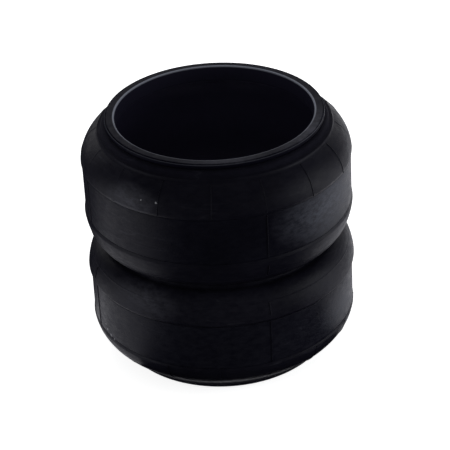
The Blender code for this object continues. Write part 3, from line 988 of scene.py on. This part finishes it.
# The girdle hoop: a ring of round steel bar between the convolutions, laid on the plies and
# moulded in, which keeps the waist from blowing out.
HOOP_BAR_R = 0.0040
HOOP_CENTRE_R = TURN_R - TURN_RADIUS + LAYER_GAP + HOOP_BAR_R
HOOP_POINTS = 24
HOOP_GREY = (0.20, 0.19, 0.18)
HOOP_BRIGHT = (0.42, 0.41, 0.39)
HOOP_SPOTS = (180.0, 5.0)
HOOP_ROUGHNESS = (0.30, 0.50)

hoop_finish, _, hoop_shader, _ = clouded_finish(
    "drawn steel bar", HOOP_GREY, HOOP_BRIGHT, HOOP_ROUGHNESS, *HOOP_SPOTS
)
hoop_shader.inputs["Metallic"].default_value = 1.0

bar_halves = (HOOP_BAR_R, HOOP_BAR_R)
bar = arc((HOOP_CENTRE_R, WAIST_Z), bar_halves, 0.0, math.tau, HOOP_POINTS + 1)[:-1]
hoop = turned("girdle_hoop_bar", bar, hoop_finish, ["girdle_hoop"], uneven=False)
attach(hoop, "girdle")

# The waist cover: the cover rubber pressed round the hoop at the bottom of the fold. It holds the
# hoop down on the plies and is bonded to both flanks.
GROOVE_FLOOR_R = 0.1155
GROOVE_POINTS = 15
OVER_HOOP_POINTS = 17

cover_inside = offset_line(carcass, LAYER_GAP)
turn_start_at = WAIST_SEAM_AT + 1

quarter = math.pi / 2
groove_centre = (GROOVE_FLOOR_R + GROOVE_HALF, WAIST_Z)
groove = arc(groove_centre, (GROOVE_HALF, GROOVE_HALF), quarter, 3 * quarter, GROOVE_POINTS)
hoop_gap_r = HOOP_BAR_R + LAYER_GAP
hoop_centre = (HOOP_CENTRE_R, WAIST_Z)
over_hoop = arc(hoop_centre, (hoop_gap_r, hoop_gap_r), -quarter, quarter, OVER_HOOP_POINTS)
lower_leg = [
    (FLANK_CENTRE_R, cover_inside[2 * MIDDLE_AT - WAIST_SEAM_AT][1]),
    cover_inside[2 * MIDDLE_AT - turn_start_at],
]
upper_leg = [cover_inside[turn_start_at], (FLANK_CENTRE_R, cover_inside[WAIST_SEAM_AT][1])]
waist_section = [
    (FLANK_CENTRE_R, WAIST_Z + GROOVE_HALF),
    *groove,
    (FLANK_CENTRE_R, WAIST_Z - GROOVE_HALF),
    *lower_leg,
    *over_hoop,
    *upper_leg,
]
waist = turned("waist_cover_ring", waist_section, rubber, ["waist_cover"])
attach(waist, "girdle")

# The belt covers: straight bands between two mould lines, where the mould's middle ring pressed
# the rubber. Their edges lie a little lower than the flanks and shoulders beside them.
BELT_EDGE_ROUND = 0.0003
SEAM_GAP = 0.00022
BELT_FACE_SPAN = (0.03, 0.97)
BELT_FACE_POINTS = 9
BELT_BACK_POINTS = 5

for side in ("lower", "upper"):
    far, near = BELT_FAR - SEAM_GAP / 2, BELT_OFFSET + SEAM_GAP / 2
    shares = spaced(*BELT_FACE_SPAN, BELT_FACE_POINTS)
    face = softened(
        (
            (BELT_R - 2 * BELT_EDGE_ROUND, far, 0.0),
            (BELT_R - BELT_EDGE_ROUND / 2, far, BELT_EDGE_ROUND),
            *[(BELT_R, far + (near - far) * share, 0.0) for share in shares],
            (BELT_R - BELT_EDGE_ROUND / 2, near, BELT_EDGE_ROUND),
            (BELT_R - 2 * BELT_EDGE_ROUND, near, 0.0),
        )
    )
    back_r = CARCASS_R + LAYER_GAP
    back = [(back_r, depth) for depth in spaced(near, far, BELT_BACK_POINTS)]
    section = placed(side, face + back)
    node = f"{side}_belt_cover"
    belt = turned(node + "_band", section, belt_rubber, [node])
    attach(belt, f"{side}_belt")

# The flank covers: from each belt down into the fold between the convolutions. A faint line runs
# round them where two rings of the mould met.
FLANK_APEX_R = {"upper": 0.1393, "lower": 0.1404}
FLANK_LINE_AT = 0.44
FLANK_LINE_HEIGHT = {"upper": 0.00035, "lower": 0.00012}
FLANK_COVER_POINTS = 34
LINE_SPREAD = 2.2
EDGE_RISE = 0.0026
EDGE_LIFT = 0.0002
EDGE_LIFT_AT = 0.3


def half_of(line, side, first, last):
    """Part of a line drawn along the whole wall, read from the bead towards the waist."""
    return (line if side == "upper" else line[::-1])[first : last + 1]


def mould_line(points, share, height):
    """Lifts one point of an outside line outwards, with its neighbours left, as a fine ridge."""
    lifted = list(points)
    at = round(share * (len(points) - 1))
    before, after = Vector(points[at - 1]), Vector(points[at + 1])
    along = (after - before).normalized()
    outward = Vector((-along.y, along.x))
    middle_point = Vector(points[at])
    fine = LINE_SPREAD * height
    lifted[at : at + 1] = [
        tuple(middle_point - along * fine),
        tuple(middle_point + outward * height),
        tuple(middle_point + along * fine),
    ]
    return lifted


def rising_edge(face, seam):
    """An outside line that starts level with the belt and soon rises to its own curve."""
    onward = [(r, d) for r, d in face if abs(d - seam) > EDGE_RISE]
    towards = math.copysign(1.0, onward[0][1] - seam)
    corners = [
        (BELT_R - 2 * BELT_EDGE_ROUND, seam, 0.0),
        (BELT_R - BELT_EDGE_ROUND / 3, seam, 0.0002),
        (BELT_R + EDGE_LIFT, seam + towards * EDGE_RISE * EDGE_LIFT_AT, 0.0006),
        (*onward[0], 0.0010),
    ]
    return softened(corners + [(r, d, 0.0) for r, d in onward[1:]])


for side in ("lower", "upper"):
    face = flank_arc(0.0, FLANK_APEX_R[side], FLANK_COVER_POINTS)
    face = mould_line(face, FLANK_LINE_AT, FLANK_LINE_HEIGHT[side])
    face = rising_edge(face, BELT_OFFSET - SEAM_GAP / 2)
    back = half_of(cover_inside, side, FLANK_SEAM_AT, WAIST_SEAM_AT)
    back[0] = (back[0][0], WAIST_Z + SIGN[side] * (BELT_OFFSET - SEAM_GAP / 2))
    back[-1] = (FLANK_CENTRE_R, back[-1][1])
    section = placed(side, face) + back[::-1]
    node = f"{side}_flank_cover"
    flank = turned(node + "_skin", section, rubber, [node])
    follow(flank, f"{side}_flank")

# The shoulder covers: from each belt up to the bead, with a rounded ridge under the bead's edge
# and a flash line where the mould's end ring met its side.
SHOULDER_APEX_R = 0.1390
SHOULDER_TOP_R = 0.1206
SHOULDER_COVER_POINTS = 36
SOLE_EDGE_R = 0.1286
SOLE_HOLLOW = 0.0011
SOLE_HOLLOW_FULLNESS = 0.6
NECK_STEP = 0.0008

# The neck's corners below that step: (radius, depth, rounding).
NECK_CORNERS = (
    (0.1142, 0.0070, 0.0012),
    (0.1154, 0.0092, 0.0012),
    (0.1160, 0.0114, 0.0010),
    (0.1188, 0.0125, 0.0002),
    (0.1193, 0.0122, 0.0001),
    (0.1197, 0.0132, 0.0),
)


def undercut(face):
    """Hollows the underside between the neck and the edge on which the sole of the mould closed."""
    top_r = face[0][0]
    cut = []
    for r, d in face:
        share = (r - top_r) / (SOLE_EDGE_R - top_r)
        hollow = math.sin(math.pi * share) ** SOLE_HOLLOW_FULLNESS if 0.0 < share < 1.0 else 0.0
        cut.append((r, d - SOLE_HOLLOW * hollow))
    return cut


for side in ("lower", "upper"):
    inner_r = PLY_SEAT_R + LAYER_GAP / 2
    top = SIDE_DEPTH + LAYER_GAP
    neck = softened(((inner_r, top, 0.0), (inner_r + NECK_STEP, top, 0.0002), *NECK_CORNERS))
    neck = [(r, BEAD_DISTANCE[side] - depth) for r, depth in neck]
    face = shoulder_arc(side, SHOULDER_TOP_R, 0.0, SHOULDER_APEX_R, SHOULDER_COVER_POINTS)
    if side == "lower":
        face = undercut(face)
    face = rising_edge(face[::-1], BELT_FAR + SEAM_GAP / 2)[::-1]
    back = half_of(cover_inside, side, 1, BELT_SEAM_AT)
    back[0] = (inner_r, back[0][1])
    back[-1] = (back[-1][0], WAIST_Z + SIGN[side] * (BELT_FAR + SEAM_GAP / 2))
    section = placed(side, neck + face) + back[::-1]
    node = f"{side}_shoulder_cover"
    shoulder = turned(node + "_skin", section, rubber, [node])
    follow(shoulder, f"{side}_shoulder")

# Flash lines: hair-fine ribs of rubber squeezed into the joints between the mould's segments.
# Sixteen run down each shoulder, no two squeezed out alike, and at the mould's four main joints
# they go on down the belt and the flank.
SEGMENT_COUNT = 16
SEGMENT_FIRST = math.radians(-3.0)
PARTING_COUNT = 4
PARTING_FIRST = math.radians(19.5)
SEGMENT_RIB_R = 0.00053
SEGMENT_SINK = 0.0035
PARTING_RIB_R = 0.00075
FLASH_SEED = 3437
RIB_SIDES = 6
RIB_TOP_R = 0.1215
RIB_POINTS = 20
BELT_RIB_POINTS = 9
FLANK_RIB_PART = slice(3, 9)
RIB_END_GAP = 0.001

rib_inputs = {
    "Rib Radius": "Float",
    "Copies": "Int",
    "First Angle": "Float",
    "Angle Step": "Float",
    "Most Sunk Share": "Float",
    "Seed": "Int",
    "Finish": "Material",
}
ribbing = node_group("flash_ribs", rib_inputs)
rib_in, _, rib_sweep = chain(
    ribbing, "NodeGroupInput", "GeometryNodeMeshToCurve", "GeometryNodeCurveToMesh"
)
rib_points, rib_instances, _, rib_paint, _ = chain(
    ribbing,
    "GeometryNodeMeshLine",
    "GeometryNodeInstanceOnPoints",
    "GeometryNodeRealizeInstances",
    "GeometryNodeSetMaterial",
    "NodeGroupOutput",
)
rib_asked = rib_in.outputs
rib_round = ribbing.nodes.new("GeometryNodeCurvePrimitiveCircle")
rib_round.inputs["Resolution"].default_value = RIB_SIDES
rib_sweep.inputs["Fill Caps"].default_value = True
rib_points.inputs["Offset"].default_value = (0.0, 0.0, 0.0)
ribbing.links.new(rib_asked["Rib Radius"], rib_round.inputs["Radius"])
ribbing.links.new(rib_round.outputs["Curve"], rib_sweep.inputs["Profile Curve"])
ribbing.links.new(rib_asked["Copies"], rib_points.inputs["Count"])
ribbing.links.new(rib_sweep.outputs["Mesh"], rib_instances.inputs["Instance"])
ribbing.links.new(rib_asked["Finish"], rib_paint.inputs["Material"])

rib_number = ribbing.nodes.new("GeometryNodeInputIndex").outputs[0]
rib_steps = (rib_asked["Angle Step"], rib_asked["First Angle"])
rib_angle = worked(ribbing, "MULTIPLY_ADD", rib_number, *rib_steps)
rib_turn = ribbing.nodes.new("ShaderNodeCombineXYZ")
ribbing.links.new(rib_angle, rib_turn.inputs["Z"])
ribbing.links.new(rib_turn.outputs[0], rib_instances.inputs["Rotation"])

# How far each rib stands out is drawn at random. The plain numbers of the random node are its
# inputs 2 and 3 and its output 1.
rib_chance = ribbing.nodes.new("FunctionNodeRandomValue")
rib_size = ribbing.nodes.new("ShaderNodeCombineXYZ")
rib_size.inputs["Z"].default_value = 1.0
rib_least = worked(ribbing, "SUBTRACT", 1.0, rib_asked["Most Sunk Share"])
ribbing.links.new(rib_least, rib_chance.inputs[2])
ribbing.links.new(rib_asked["Seed"], rib_chance.inputs["Seed"])
for axis in ("X", "Y"):
    ribbing.links.new(rib_chance.outputs[1], rib_size.inputs[axis])
ribbing.links.new(rib_size.outputs[0], rib_instances.inputs["Scale"])


def flash_ribs(name, line, radius, copies, first, length, sink=0.0):
    """Copies of a rib along a (radius, z) line, spread evenly round the bellows from the front."""
    drawing = bmesh.new()
    corners = [drawing.verts.new((0.0, -r, z)) for r, z in line]
    for a, b in zip(corners, corners[1:]):
        drawing.edges.new((a, b))
    values = {
        "Rib Radius": radius,
        "Copies": copies,
        "First Angle": first,
        "Angle Step": math.tau / copies,
        "Most Sunk Share": sink,
        "Seed": FLASH_SEED,
        "Finish": rubber,
    }
    ribs = shaped(name, drawing, ribbing, values)
    settle(ribs.data)
    ribs.data.shade_smooth()
    follow(ribs, length)


for side in ("lower", "upper"):
    shoulder_line = shoulder_arc(side, RIB_TOP_R, 0.0, SHOULDER_APEX_R, RIB_POINTS)[:-1]
    flank_line = flank_arc(0.0, FLANK_APEX_R[side], RIB_POINTS)[FLANK_RIB_PART]
    belt_line = [
        (BELT_R, BELT_FAR - RIB_END_GAP - (BELT_HEIGHT - 2 * RIB_END_GAP) * share)
        for share in spaced(0.0, 1.0, BELT_RIB_POINTS)
    ]
    segments = (SEGMENT_RIB_R, SEGMENT_COUNT, SEGMENT_FIRST, f"{side}_shoulder", SEGMENT_SINK)
    flash_ribs(f"{side}_shoulder_flash", placed(side, shoulder_line), *segments)
    for part, line in (("flank", flank_line), ("belt", belt_line)):
        parting = (PARTING_RIB_R, PARTING_COUNT, PARTING_FIRST, f"{side}_{part}")
        flash_ribs(f"{side}_{part}_parting", placed(side, line), *parting)
